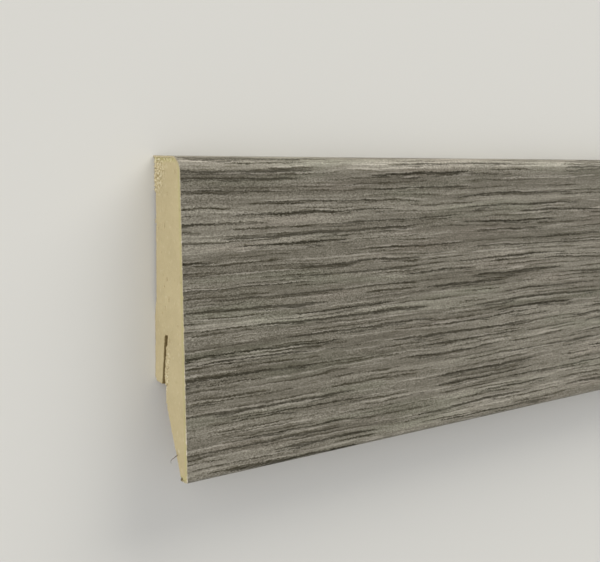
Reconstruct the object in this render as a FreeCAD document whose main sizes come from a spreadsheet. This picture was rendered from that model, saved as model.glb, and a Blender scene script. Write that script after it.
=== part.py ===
"""A skirting board length: a moulded MDF core in a printed wood-grain foil, with a clip slot in its back.

The board lies on its back, as it rests on a level floor. X runs along its length, +Y is the edge that
is uppermost on a wall, and +Z is the face that shows. The plane Z = 0 is the one that meets the wall.
Every section sketch is drawn square to the length. Its first axis is the height above the floor edge,
and its second is the distance from the wall plane. All sizes are in millimetres.
"""

import FreeCAD, Part
import math
import os
import Sketcher

PARTS_FOLDER = "parts"

# Each driving size: its name, its value, and what it is.
SIZES = [
    ("board_length", 2400.0, "length in which the board is sold"),
    ("board_height", 58.0, "from the floor edge to the top edge"),
    ("board_thickness", 12.0, "from the wall plane to the front of the floor edge"),
    ("top_thickness", 9.6, "the same at the top edge, before the nose is rounded"),
    ("nose_radius", 3.0, "rounding of the front top edge, over the foil"),
    ("edge_ease", 0.3, "rounding of the core under the foil at the front of the floor edge"),
    ("foil_thickness", 0.3, "printed foil with its backing"),
    ("toe_thickness", 2.5, "width of the floor edge"),
    ("lip_height", 16.4, "height of the lower edge of the lip behind the slot"),
    ("lip_radius", 0.9, "rounding of the lip's lower back edge"),
    ("leg_gap", 3.9, "from the wall plane to the upright back of the leg"),
    ("knee_drop", 3.0, "from the lip's lower edge down to where the leg starts to slope to the toe"),
    ("knee_radius", 6.0, "rounding between the upright and the slope"),
    ("slot_width", 1.1, "clip slot, wall to wall"),
    ("slot_depth", 9.3, "from the lip's lower edge to the end of the slot"),
    ("slot_tilt", 6.5, "lean of the slot towards the front, in degrees"),
    ("relief_depth", 0.6, "hollow in the back that keeps it off an uneven wall"),
    ("low_land", 13.1, "flat stretch of the back between the lip's lower edge and the hollow"),
    ("top_land", 6.2, "flat stretch of the back between the hollow and the top edge"),
    ("relief_low_run", 2.6, "height of the gentle slope at the hollow's lower end"),
    ("relief_high_run", 0.6, "height of the short slope at its upper end"),
    ("cutter_overrun", 1.0, "how far a cutter starts outside the board"),
]

# The sketch's own axes, and the places on a line or an arc that a constraint can name.
X_AXIS, Y_AXIS = -1, -2
START, END, CENTRE = 1, 2, 3


def make_sheet(doc):
    """The spreadsheet of driving sizes."""
    sheet = doc.addObject("Spreadsheet::Sheet", "Sizes")
    for row, (alias, value, meaning) in enumerate(SIZES, start=1):
        sheet.set(f"A{row}", alias)
        sheet.set(f"B{row}", str(value))
        sheet.setAlias(f"B{row}", alias)
        sheet.set(f"C{row}", meaning)
    doc.recompute()
    return sheet


class SectionSketch:
    """A sketch square to the board's length, whose sizes are bound to the spreadsheet."""

    def __init__(self, body, name):
        self.sketch = body.newObject("Sketcher::SketchObject", name)
        planes = [f for f in body.Origin.OriginFeatures if f.Role == "YZ_Plane"]
        self.sketch.AttachmentSupport = [(planes[0], "")]
        self.sketch.MapMode = "FlatFace"

    def line(self, start, end, construction=False):
        segment = Part.LineSegment(FreeCAD.Vector(*start, 0), FreeCAD.Vector(*end, 0))
        return self.sketch.addGeometry(segment, construction)

    def arc(self, centre, radius, first_angle, last_angle):
        circle = Part.Circle(FreeCAD.Vector(*centre, 0), FreeCAD.Vector(0, 0, 1), radius)
        return self.sketch.addGeometry(Part.ArcOfCircle(circle, first_angle, last_angle), False)

    def point(self, place):
        return self.sketch.addGeometry(Part.Point(FreeCAD.Vector(*place, 0)), True)

    def fix(self, *terms):
        """A constraint with no size of its own."""
        return self.sketch.addConstraint(Sketcher.Constraint(*terms))

    def bind(self, expression, *terms):
        """A constraint whose size is worked out from the spreadsheet."""
        index = self.fix(*terms)
        self.sketch.setExpression(f"Constraints[{index}]", expression)
        return index

    def place(self, geometry, end, across, up, across_expression, up_expression):
        """Sets the height and the distance from the wall plane of one point."""
        self.bind(across_expression, "DistanceX", X_AXIS, START, geometry, end, across)
        self.bind(up_expression, "DistanceY", X_AXIS, START, geometry, end, up)


class FrontArc:
    """An arc that touches the leaning front, at a depth below the foil's surface."""

    def __init__(self, size, centre_height, outer_radius, depth):
        run = size.board_thickness - size.top_thickness
        lean = math.atan2(run, size.board_height)
        outer = size.board_thickness - run * centre_height / size.board_height
        self.radius = outer_radius - depth
        self.centre = (centre_height, outer - outer_radius / math.cos(lean))
        self.touch_angle = math.pi / 2 - lean
        self.touch = (
            self.centre[0] + self.radius * math.cos(self.touch_angle),
            self.centre[1] + self.radius * math.sin(self.touch_angle),
        )


def draw_front(section, size, depth, depth_expression):
    """Draws floor edge, front, nose and top as an open chain that starts and ends on the wall plane.

    Returns the first line and the last, so that the caller can close the outline.
    """
    ease_radius = size.edge_ease + size.foil_thickness
    ease = FrontArc(size, ease_radius, ease_radius, depth)
    nose = FrontArc(size, size.board_height - size.nose_radius, size.nose_radius, depth)
    high = size.board_height - depth
    leaning = section.line((0, size.board_thickness), (size.board_height, size.top_thickness), True)
    section.bind(
        "Sizes.board_thickness", "DistanceY", X_AXIS, START, leaning, START, size.board_thickness
    )
    section.fix("PointOnObject", leaning, START, Y_AXIS)
    section.place(
        leaning, END, size.board_height, size.top_thickness, "Sizes.board_height", "Sizes.top_thickness"
    )
    floor_edge = section.line((depth, 0), (depth, ease.centre[1]))
    ease_arc = section.arc(ease.centre, ease.radius, ease.touch_angle, math.pi)
    face = section.line(ease.touch, nose.touch)
    nose_arc = section.arc(nose.centre, nose.radius, 0, nose.touch_angle)
    top = section.line((high, nose.centre[1]), (high, 0))
    section.fix("PointOnObject", floor_edge, START, X_AXIS)
    section.fix("Vertical", floor_edge)
    section.fix("Tangent", floor_edge, END, ease_arc, END)
    section.fix("Tangent", ease_arc, START, face, START)
    section.fix("Tangent", face, END, nose_arc, END)
    section.fix("Tangent", nose_arc, START, top, START)
    section.fix("Vertical", top)
    section.fix("PointOnObject", top, END, X_AXIS)
    section.bind(
        f"Sizes.edge_ease + Sizes.foil_thickness - {depth_expression}", "Radius", ease_arc, ease.radius
    )
    section.bind(f"Sizes.nose_radius - {depth_expression}", "Radius", nose_arc, nose.radius)
    section.bind(
        f"Sizes.board_height - {depth_expression}",
        "DistanceX", X_AXIS, START, top, END, high,
    )
    if depth:
        section.bind(depth_expression, "DistanceX", X_AXIS, START, floor_edge, START, depth)
        section.fix("Parallel", face, leaning)
        section.bind(depth_expression, "Distance", face, START, leaning, depth)
    else:
        section.fix("PointOnObject", floor_edge, START, Y_AXIS)
        section.fix("Tangent", face, leaning)
    return floor_edge, top


def pad_along_board(body, section, name):
    """Carries a section along the whole board, half of it to each side of the middle."""
    pad = body.newObject("PartDesign::Pad", name)
    pad.Profile = section.sketch
    pad.SideType = "Symmetric"
    pad.setExpression("Length", "Sizes.board_length")
    return pad


def cut_along_board(body, section, name):
    """Runs a cutter of that section along the whole board."""
    cut = body.newObject("PartDesign::Pocket", name)
    cut.Profile = section.sketch
    cut.SideType = "Symmetric"
    cut.setExpression("Length", "Sizes.board_length + 2 * Sizes.cutter_overrun")
    return cut


def draw_cutaway(body, size):
    """The rebate behind the leg, from the wall plane to the leg and from the floor to the lip."""
    section = SectionSketch(body, "cutaway_section")
    over = -size.cutter_overrun
    toe = size.board_thickness - size.toe_thickness
    knee_height = size.lip_height - size.knee_drop
    slope = math.atan2(toe - size.leg_gap, knee_height)
    # The arc at the knee touches the upright and the slope this far from the corner between them.
    reach = size.knee_radius * math.tan(slope / 2)
    knee_top = (knee_height + reach, size.leg_gap)
    knee_centre = (knee_top[0], size.leg_gap + size.knee_radius)
    knee_low = (
        knee_height - reach * math.cos(slope),
        size.leg_gap + reach * math.sin(slope),
    )
    lip_top = size.lip_height + size.lip_radius
    outside = section.line((0, over), (lip_top, over))
    entry = section.line((lip_top, over), (lip_top, 0))
    lip_arc = section.arc((lip_top, size.lip_radius), size.lip_radius, math.pi, 1.5 * math.pi)
    lip_edge = section.line((size.lip_height, size.lip_radius), (size.lip_height, size.leg_gap))
    upright = section.line((size.lip_height, size.leg_gap), knee_top)
    knee_arc = section.arc(knee_centre, size.knee_radius, -math.pi / 2 - slope, -math.pi / 2)
    back_slope = section.line(knee_low, (0, toe))
    floor = section.line((0, toe), (0, over))
    section.fix("Coincident", outside, END, entry, START)
    section.fix("Coincident", entry, END, lip_arc, END)
    section.fix("Coincident", lip_arc, START, lip_edge, START)
    section.fix("Coincident", lip_edge, END, upright, START)
    section.fix("Tangent", upright, END, knee_arc, END)
    section.fix("Tangent", knee_arc, START, back_slope, START)
    section.fix("Coincident", back_slope, END, floor, START)
    section.fix("Coincident", floor, END, outside, START)
    section.fix("Horizontal", outside)
    section.fix("Horizontal", upright)
    for upright_line in (entry, lip_edge, floor):
        section.fix("Vertical", upright_line)
    section.fix("PointOnObject", floor, START, Y_AXIS)
    section.fix("PointOnObject", entry, END, X_AXIS)
    section.fix("Vertical", entry, END, lip_arc, CENTRE)
    section.fix("Horizontal", lip_arc, START, lip_arc, CENTRE)
    section.bind("Sizes.cutter_overrun", "DistanceY", outside, START, X_AXIS, START, -over)
    section.bind("Sizes.lip_radius", "Radius", lip_arc, size.lip_radius)
    section.bind("Sizes.knee_radius", "Radius", knee_arc, size.knee_radius)
    section.place(
        upright, START, size.lip_height, size.leg_gap, "Sizes.lip_height", "Sizes.leg_gap"
    )
    section.bind(
        "Sizes.board_thickness - Sizes.toe_thickness",
        "DistanceY", X_AXIS, START, floor, START, toe,
    )
    corner = section.point((knee_height, size.leg_gap))
    section.place(
        corner, START, knee_height, size.leg_gap,
        "Sizes.lip_height - Sizes.knee_drop", "Sizes.leg_gap",
    )
    section.fix("PointOnObject", corner, START, back_slope)
    return section


def draw_slot(body, size):
    """The clip slot: it opens downwards, leans to the front, and its front wall starts at the leg."""
    section = SectionSketch(body, "slot_section")
    tilt = math.radians(size.slot_tilt)
    radius = size.slot_width / 2
    along = (math.cos(tilt), math.sin(tilt))
    across = (-math.sin(tilt), math.cos(tilt))
    end_height = size.lip_height + size.slot_depth - radius

    def on_wall(height, side):
        """A point of the slot's front wall, or of its back wall one width behind it."""
        rise = (height - size.lip_height + side * size.slot_width * across[0]) / along[0]
        return (
            height,
            size.leg_gap + rise * along[1] - side * size.slot_width * across[1],
        )

    start_height = size.lip_height - size.cutter_overrun
    front_foot = on_wall(start_height, 0)
    back_foot = on_wall(start_height, 1)
    middle = on_wall(end_height, 0.5)
    front_end = (middle[0] + radius * across[0], middle[1] + radius * across[1])
    back_end = (middle[0] - radius * across[0], middle[1] - radius * across[1])
    front_wall = section.line(front_foot, front_end)
    back_wall = section.line(back_end, back_foot)
    mouth = section.line(back_foot, front_foot)
    end = section.arc(middle, radius, tilt - math.pi / 2, tilt + math.pi / 2)
    section.fix("Tangent", front_wall, END, end, END)
    section.fix("Tangent", end, START, back_wall, START)
    section.fix("Coincident", back_wall, END, mouth, START)
    section.fix("Coincident", mouth, END, front_wall, START)
    section.fix("Vertical", mouth)
    section.fix("Parallel", front_wall, back_wall)
    section.bind("Sizes.slot_width / 2", "Radius", end, radius)
    section.bind("Sizes.slot_tilt * 1 deg", "Angle", X_AXIS, START, front_wall, START, tilt)
    section.bind(
        "Sizes.lip_height - Sizes.cutter_overrun",
        "DistanceX", X_AXIS, START, mouth, START, start_height,
    )
    section.bind(
        "Sizes.lip_height + Sizes.slot_depth - Sizes.slot_width / 2",
        "DistanceX", X_AXIS, START, end, CENTRE, end_height,
    )
    leg_corner = section.point((size.lip_height, size.leg_gap))
    section.place(
        leg_corner, START, size.lip_height, size.leg_gap, "Sizes.lip_height", "Sizes.leg_gap"
    )
    section.fix("PointOnObject", leg_corner, START, front_wall)
    return section


def draw_relief(body, size):
    """The shallow hollow in the back, between the two lands that touch the wall."""
    section = SectionSketch(body, "relief_section")
    low = size.lip_height + size.low_land
    high = size.board_height - size.top_land
    corners = [
        (low, 0.0),
        (low + size.relief_low_run, size.relief_depth),
        (high - size.relief_high_run, size.relief_depth),
        (high, 0.0),
    ]
    sides = [section.line(start, end) for start, end in zip(corners, corners[1:] + corners[:1])]
    for side, following in zip(sides, sides[1:] + sides[:1]):
        section.fix("Coincident", side, END, following, START)
    low_slope, bottom, high_slope, opening = sides
    section.fix("PointOnObject", low_slope, START, X_AXIS)
    section.fix("PointOnObject", opening, START, X_AXIS)
    section.fix("Horizontal", bottom)
    section.bind(
        "Sizes.lip_height + Sizes.low_land", "DistanceX", X_AXIS, START, low_slope, START, low
    )
    section.bind(
        "Sizes.board_height - Sizes.top_land", "DistanceX", X_AXIS, START, opening, START, high
    )
    section.bind(
        "Sizes.relief_low_run", "DistanceX", low_slope, START, low_slope, END, size.relief_low_run
    )
    section.bind(
        "Sizes.relief_high_run",
        "DistanceX", high_slope, START, high_slope, END, size.relief_high_run,
    )
    section.bind(
        "Sizes.relief_depth", "DistanceY", X_AXIS, START, bottom, START, size.relief_depth
    )
    return section


def new_body(doc, label):
    """A body whose floor edge is half the board's height from the middle, on the -Y side."""
    body = doc.addObject("PartDesign::Body", label)
    body.Label = label
    body.setExpression("Placement.Base.y", "-Sizes.board_height / 2")
    return body


def make_core(doc, size):
    """The MDF core: one moulded length, planed to the front, then rebated, slotted and hollowed."""
    body = new_body(doc, "mdf_core")
    blank = SectionSketch(body, "core_section")
    floor_edge, top = draw_front(blank, size, size.foil_thickness, "Sizes.foil_thickness")
    back = blank.line((size.board_height - size.foil_thickness, 0), (size.foil_thickness, 0))
    blank.fix("Coincident", top, END, back, START)
    blank.fix("Coincident", back, END, floor_edge, START)
    pad_along_board(body, blank, "core_blank")
    cut_along_board(body, draw_cutaway(body, size), "cutaway")
    cut_along_board(body, draw_slot(body, size), "clip_slot")
    cut_along_board(body, draw_relief(body, size), "back_relief")
    return body


def make_foil(doc, size):
    """The decor foil: it starts at the back of the toe and ends at the back of the top edge."""
    body = new_body(doc, "decor_foil")
    wrap = SectionSketch(body, "foil_section")
    outer_floor, outer_top = draw_front(wrap, size, 0.0, "0")
    inner_floor, inner_top = draw_front(wrap, size, size.foil_thickness, "Sizes.foil_thickness")
    for outer, inner, end in ((outer_floor, inner_floor, START), (outer_top, inner_top, END)):
        places = [wrap.sketch.getPoint(g, end) for g in (outer, inner)]
        edge = wrap.line((places[0].x, places[0].y), (places[1].x, places[1].y))
        wrap.fix("Coincident", edge, START, outer, end)
        wrap.fix("Coincident", edge, END, inner, end)
    pad_along_board(body, wrap, "foil_strip")
    cut_along_board(body, draw_cutaway(body, size), "foil_trim")
    return body


class Size:
    """The spreadsheet's values by name."""

    def __init__(self, sheet):
        for alias, _value, _meaning in SIZES:
            setattr(self, alias, float(sheet.get(alias)))


def check(doc, bodies):
    """Stops before anything is written if a feature failed, a section is loose or a solid is bad."""
    doc.recompute()
    for item in doc.Objects:
        if "Invalid" in item.State or "Error" in item.State:
            raise RuntimeError(f"{item.Name} failed: {item.State}")
        if item.isDerivedFrom("Sketcher::SketchObject") and not item.FullyConstrained:
            raise RuntimeError(f"{item.Name} isn't held by its sizes alone")
    for body in bodies:
        shape = body.Shape
        if shape.isNull() or not shape.isValid() or len(shape.Solids) != 1:
            raise RuntimeError(f"{body.Label} isn't one valid solid")


def check_cuts(body):
    """A cutter that points away from the board takes nothing off it and shows no error."""
    before = None
    for feature in body.Group:
        if not feature.isDerivedFrom("PartDesign::Feature"):
            continue
        volume = feature.Shape.Volume
        if before is not None and not volume < before:
            raise RuntimeError(f"{feature.Name} took nothing off {body.Label}")
        before = volume


def main():
    doc = FreeCAD.newDocument("skirting_board")
    size = Size(make_sheet(doc))
    bodies = [make_core(doc, size), make_foil(doc, size)]
    check(doc, bodies)
    for body in bodies:
        check_cuts(body)
    os.makedirs(PARTS_FOLDER, exist_ok=True)
    for body in bodies:
        shape = body.Shape
        shape.exportStep(os.path.join(PARTS_FOLDER, body.Label + ".step"))
        box = shape.BoundBox
        sides = " x ".join(f"{side:.1f}" for side in (box.XLength, box.YLength, box.ZLength))
        print(f"{body.Label}: {sides} mm, {shape.Volume:.0f} mm3")


main()
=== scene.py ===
"""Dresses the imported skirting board: a grey oak foil, sawn MDF ends, the camera, the floor and the light.

Section points are (height above the floor edge, distance from the wall plane), in millimetres, as in the
part's source. The row frame is in metres: X along the board, Y = height less half the board's height, and
Z away from the wall plane. An end of the board is -1 for the near one, at low X, and 1 for the far one.
"""

import bpy
import math
import random
from functools import partialmethod
from mathutils import Matrix, Vector, noise
from mathutils.geometry import delaunay_2d_cdt


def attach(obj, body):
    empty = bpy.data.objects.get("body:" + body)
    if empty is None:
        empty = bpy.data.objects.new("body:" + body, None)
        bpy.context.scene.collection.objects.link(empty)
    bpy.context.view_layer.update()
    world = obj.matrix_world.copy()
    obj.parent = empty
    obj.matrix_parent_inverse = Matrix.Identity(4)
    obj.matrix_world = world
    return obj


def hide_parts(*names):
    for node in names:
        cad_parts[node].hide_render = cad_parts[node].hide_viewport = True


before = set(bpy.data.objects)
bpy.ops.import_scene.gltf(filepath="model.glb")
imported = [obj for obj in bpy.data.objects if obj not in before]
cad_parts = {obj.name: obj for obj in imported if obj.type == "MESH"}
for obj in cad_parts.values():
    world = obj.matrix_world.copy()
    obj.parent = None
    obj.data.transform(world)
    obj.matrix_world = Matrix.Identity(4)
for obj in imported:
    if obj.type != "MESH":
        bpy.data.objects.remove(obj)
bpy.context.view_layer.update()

MM = 0.001

# The part's own sizes.
BOARD_LENGTH = 2400.0
BOARD_HEIGHT = 58.0
BOARD_THICKNESS = 12.0
TOP_THICKNESS = 9.6
NOSE_RADIUS = 3.0
FOIL_THICKNESS = 0.3
EASE_RADIUS = 0.6
TOE_THICKNESS = 2.5
LIP_HEIGHT = 16.4
LIP_RADIUS = 0.9
LEG_GAP = 3.9
KNEE_DROP = 3.0
KNEE_RADIUS = 6.0
SLOT_WIDTH = 1.1
SLOT_DEPTH = 9.3
SLOT_TILT = math.radians(6.5)
RELIEF_DEPTH = 0.6
LOW_LAND = 13.1
TOP_LAND = 6.2
RELIEF_LOW_RUN = 2.6
RELIEF_HIGH_RUN = 0.6

# Sizes that follow from them.
HALF_LENGTH = BOARD_LENGTH / 2
RUN = BOARD_THICKNESS - TOP_THICKNESS
LEAN = math.atan2(RUN, BOARD_HEIGHT)
TOE_BACK = BOARD_THICKNESS - TOE_THICKNESS
KNEE_HEIGHT = LIP_HEIGHT - KNEE_DROP
CORE_TOP = BOARD_HEIGHT - FOIL_THICKNESS
RELIEF_FOOT = LIP_HEIGHT + LOW_LAND
RELIEF_TOP = BOARD_HEIGHT - TOP_LAND

# How finely the section is divided where the saw cut shows, and how finely where the saw tore it.
FINE = 0.2
TORN_FINE = 0.6 * FINE


# Section outlines


def divided(start, end):
    """Points from start towards end, without the end itself."""
    count = max(1, round(math.dist(start, end) / FINE))
    rise, run = end[0] - start[0], end[1] - start[1]
    return [(start[0] + rise * i / count, start[1] + run * i / count) for i in range(count)]


def on_arc(centre, radius, angle):
    return (centre[0] + radius * math.cos(angle), centre[1] + radius * math.sin(angle))


def arc(centre, radius, first, last, step=FINE):
    """Points of an arc from the first angle towards the last, without the last point."""
    count = max(6, round(abs(last - first) * radius / step))
    return [on_arc(centre, radius, first + (last - first) * i / count) for i in range(count)]


def front_z(height):
    """Distance of the leaning front from the wall plane."""
    return BOARD_THICKNESS - RUN * height / BOARD_HEIGHT


def front_arc(height, outer_radius, depth):
    """Centre and radius of an arc that touches the front, at a depth below the foil's surface."""
    return (height, front_z(height) - outer_radius / math.cos(LEAN)), outer_radius - depth


def leg_slope_z(height):
    """Distance of the sloped back of the leg from the wall plane."""
    return TOE_BACK - (TOE_BACK - LEG_GAP) * height / KNEE_HEIGHT


def back_z(height):
    """Distance of the core's back from the wall plane."""
    if height < KNEE_HEIGHT:
        return leg_slope_z(height)
    if height < LIP_HEIGHT:
        return LEG_GAP
    hollow = RELIEF_FOOT + RELIEF_LOW_RUN < height < RELIEF_TOP - RELIEF_HIGH_RUN
    return RELIEF_DEPTH if hollow else 0.0


def front_chain(depth):
    """Floor edge, front, nose and top edge, from the back of the toe to the wall plane."""
    touch = math.pi / 2 - LEAN
    ease_centre, ease_radius = front_arc(EASE_RADIUS, EASE_RADIUS, depth)
    nose_centre, nose_radius = front_arc(BOARD_HEIGHT - NOSE_RADIUS, NOSE_RADIUS, depth)
    high = BOARD_HEIGHT - depth
    face_low = on_arc(ease_centre, ease_radius, touch)
    face_high = on_arc(nose_centre, nose_radius, touch)
    points = divided((depth, leg_slope_z(depth)), (depth, ease_centre[1]))
    points += arc(ease_centre, ease_radius, math.pi, touch, FINE / 2)
    points += divided(face_low, face_high)
    points += arc(nose_centre, nose_radius, touch, 0.0)
    points += divided((high, nose_centre[1]), (high, 0.0))
    points.append((high, 0.0))
    return points


def core_outline():
    """The core's closed section and, for each point, which surface starts there."""
    outline = [(p, "foil") for p in front_chain(FOIL_THICKNESS)[:-1]]

    def add(points, surface):
        outline.extend((p, surface) for p in points)

    back = [
        (CORE_TOP, 0.0),
        (RELIEF_TOP, 0.0),
        (RELIEF_TOP - RELIEF_HIGH_RUN, RELIEF_DEPTH),
        (RELIEF_FOOT + RELIEF_LOW_RUN, RELIEF_DEPTH),
        (RELIEF_FOOT, 0.0),
        (LIP_HEIGHT + LIP_RADIUS, 0.0),
    ]
    for start, end in zip(back, back[1:]):
        add(divided(start, end), "back")
    lip_centre = (LIP_HEIGHT + LIP_RADIUS, LIP_RADIUS)
    add(arc(lip_centre, LIP_RADIUS, 1.5 * math.pi, math.pi), "back")

    # The slot leans to the front, and its front wall runs on into the back of the leg.
    lean = (math.cos(SLOT_TILT), math.sin(SLOT_TILT))
    side = (-math.sin(SLOT_TILT), math.cos(SLOT_TILT))
    half = SLOT_WIDTH / 2
    foot = (LIP_HEIGHT - SLOT_WIDTH * side[0], LEG_GAP - SLOT_WIDTH * side[1])
    mouth_back = (LIP_HEIGHT, foot[1] - (foot[0] - LIP_HEIGHT) * math.tan(SLOT_TILT))
    end_height = LIP_HEIGHT + SLOT_DEPTH - half
    rise = (end_height - LIP_HEIGHT + half * side[0]) / lean[0]
    middle = (end_height, LEG_GAP + rise * lean[1] - half * side[1])
    back_end = (middle[0] - half * side[0], middle[1] - half * side[1])
    front_end = (middle[0] + half * side[0], middle[1] + half * side[1])
    add(divided((LIP_HEIGHT, LIP_RADIUS), mouth_back), "lip")
    add(divided(mouth_back, back_end), "slot")
    add(arc(middle, half, SLOT_TILT - math.pi / 2, SLOT_TILT + math.pi / 2, FINE / 2), "slot")
    add(divided(front_end, (LIP_HEIGHT, LEG_GAP)), "slot")

    slope = math.atan2(TOE_BACK - LEG_GAP, KNEE_HEIGHT)
    reach = KNEE_RADIUS * math.tan(slope / 2)
    knee_centre = (KNEE_HEIGHT + reach, LEG_GAP + KNEE_RADIUS)
    knee_low = (KNEE_HEIGHT - reach * math.cos(slope), LEG_GAP + reach * math.sin(slope))
    add(divided((LIP_HEIGHT, LEG_GAP), (KNEE_HEIGHT + reach, LEG_GAP)), "leg")
    add(arc(knee_centre, KNEE_RADIUS, -math.pi / 2, -math.pi / 2 - slope), "leg")
    add(divided(knee_low, (FOIL_THICKNESS, leg_slope_z(FOIL_THICKNESS))), "leg")
    return outline


def running_lengths(points):
    """The length of a row of points up to each of them."""
    lengths = [0.0]
    for here, ahead in zip(points, points[1:]):
        lengths.append(lengths[-1] + math.dist(here, ahead))
    return lengths


def slot_place(point):
    """Signed distance of a section point from the slot's middle line, and the place along the slot."""
    h, z = point
    rise = (h - LIP_HEIGHT) / math.cos(SLOT_TILT)
    line = LEG_GAP + rise * math.sin(SLOT_TILT) - SLOT_WIDTH / 2
    return (z - line) * math.cos(SLOT_TILT), rise


# Only the toe, beyond this distance from the wall plane, has foil under it.
FOIL_UNDER_TOE = 9.0


def foil_distance(point):
    """How far a section point of the core is from the foil."""
    h, z = point
    to_face = (front_z(h) - z) * math.cos(LEAN) - FOIL_THICKNESS
    to_foot = h - FOIL_THICKNESS if z > FOIL_UNDER_TOE else math.inf
    return max(0.0, min(to_face, CORE_TOP - h, to_foot))


# Helpers for meshes

SHARP_ANGLE = math.radians(40.0)


def row_point(x, point):
    """A place along the board and a section point, in the row frame."""
    return (x * MM, (point[0] - BOARD_HEIGHT / 2) * MM, point[1] * MM)


def soft_noise(*place):
    """Smooth noise between about -1 and 1."""
    return noise.noise(Vector(place))


def smooth(low, high, value):
    """0 at low, 1 at high, with a soft change between. Low may be the larger of the two."""
    t = min(1.0, max(0.0, (value - low) / (high - low)))
    return t * t * (3 - 2 * t)


def placed(name, data):
    """A new object of the scene."""
    thing = bpy.data.objects.new(name, data)
    bpy.context.scene.collection.objects.link(thing)
    return thing


def new_piece(name, vertices, faces, materials):
    """A piece on the board, smooth except where its faces meet at an edge."""
    mesh = bpy.data.meshes.new(name)
    mesh.from_pydata(vertices, [], faces)
    mesh.shade_smooth()
    mesh.set_sharp_from_angle(angle=SHARP_ANGLE)
    for material in materials:
        mesh.materials.append(material)
    piece = placed(name, mesh)
    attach(piece, "root")
    return piece


def set_map(mesh, name, places):
    """A UV map from one place for each corner of each face, in the order of the faces."""
    layer = mesh.uv_layers.new(name=name)
    layer.data.foreach_set("uv", [value for place in places for value in place])


# On the map that the finish is stored in, the board is folded into strips, and a margin keeps them apart.
STRIPS = 4
MARGIN = 0.002

# Bands of that map, from low to high: the core's free sides, its sawn ends and the side under the foil.
CORE_SIDES = (0.0, 0.74)
CORE_ENDS = {-1: (0.745, 0.86), 1: (0.865, 0.98)}
CORE_UNDER_FOIL = (0.985, 0.995)

# The same for the foil: its face, its back, its two long edges and its cut ends.
FOIL_FACE = (0.0, 0.94)
FOIL_BACK = (0.942, 0.946)
FOIL_EDGES = ((0.95, 0.956), (0.96, 0.966))
FOIL_ENDS = {-1: (0.97, 0.982), 1: (0.986, 0.998)}


def on_strip(x, middle_x, across, band):
    """A place on the folded map: x along the board, and across from 0 to 1 over its width."""
    low, high = band
    length = BOARD_LENGTH / STRIPS
    strip = min(STRIPS - 1, int((middle_x + HALF_LENGTH) // length))
    along = (x + HALF_LENGTH - strip * length) / length
    height = (high - low) / STRIPS
    u = MARGIN + along * (1 - 2 * MARGIN)
    v = low + strip * height + MARGIN + across * (height - 2 * MARGIN)
    return (min(1.0, max(0.0, u)), v)


def on_band(share, across, band):
    """A place on a narrow band of the map, both from 0 to 1."""
    low, high = band
    return (MARGIN + share * (1 - 2 * MARGIN), low + across * (high - low))


def length_share(x):
    """A place along the board, from 0 to 1."""
    return (x + HALF_LENGTH) / BOARD_LENGTH


def middle_between(vertices, near, far):
    """Where along the board the middle between two rings of vertices lies."""
    return (vertices[near[0]][0] + vertices[far[0]][0]) / 2 / MM


# Materials

WHITE = (1.0, 1.0, 1.0, 1.0)


def tone(*screen):
    """An 8-bit screen colour as linear values."""
    shares = [v / 255 for v in screen]
    return (*(v / 12.92 if v <= 0.04045 else ((v + 0.055) / 1.055) ** 2.4 for v in shares), 1.0)


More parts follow.
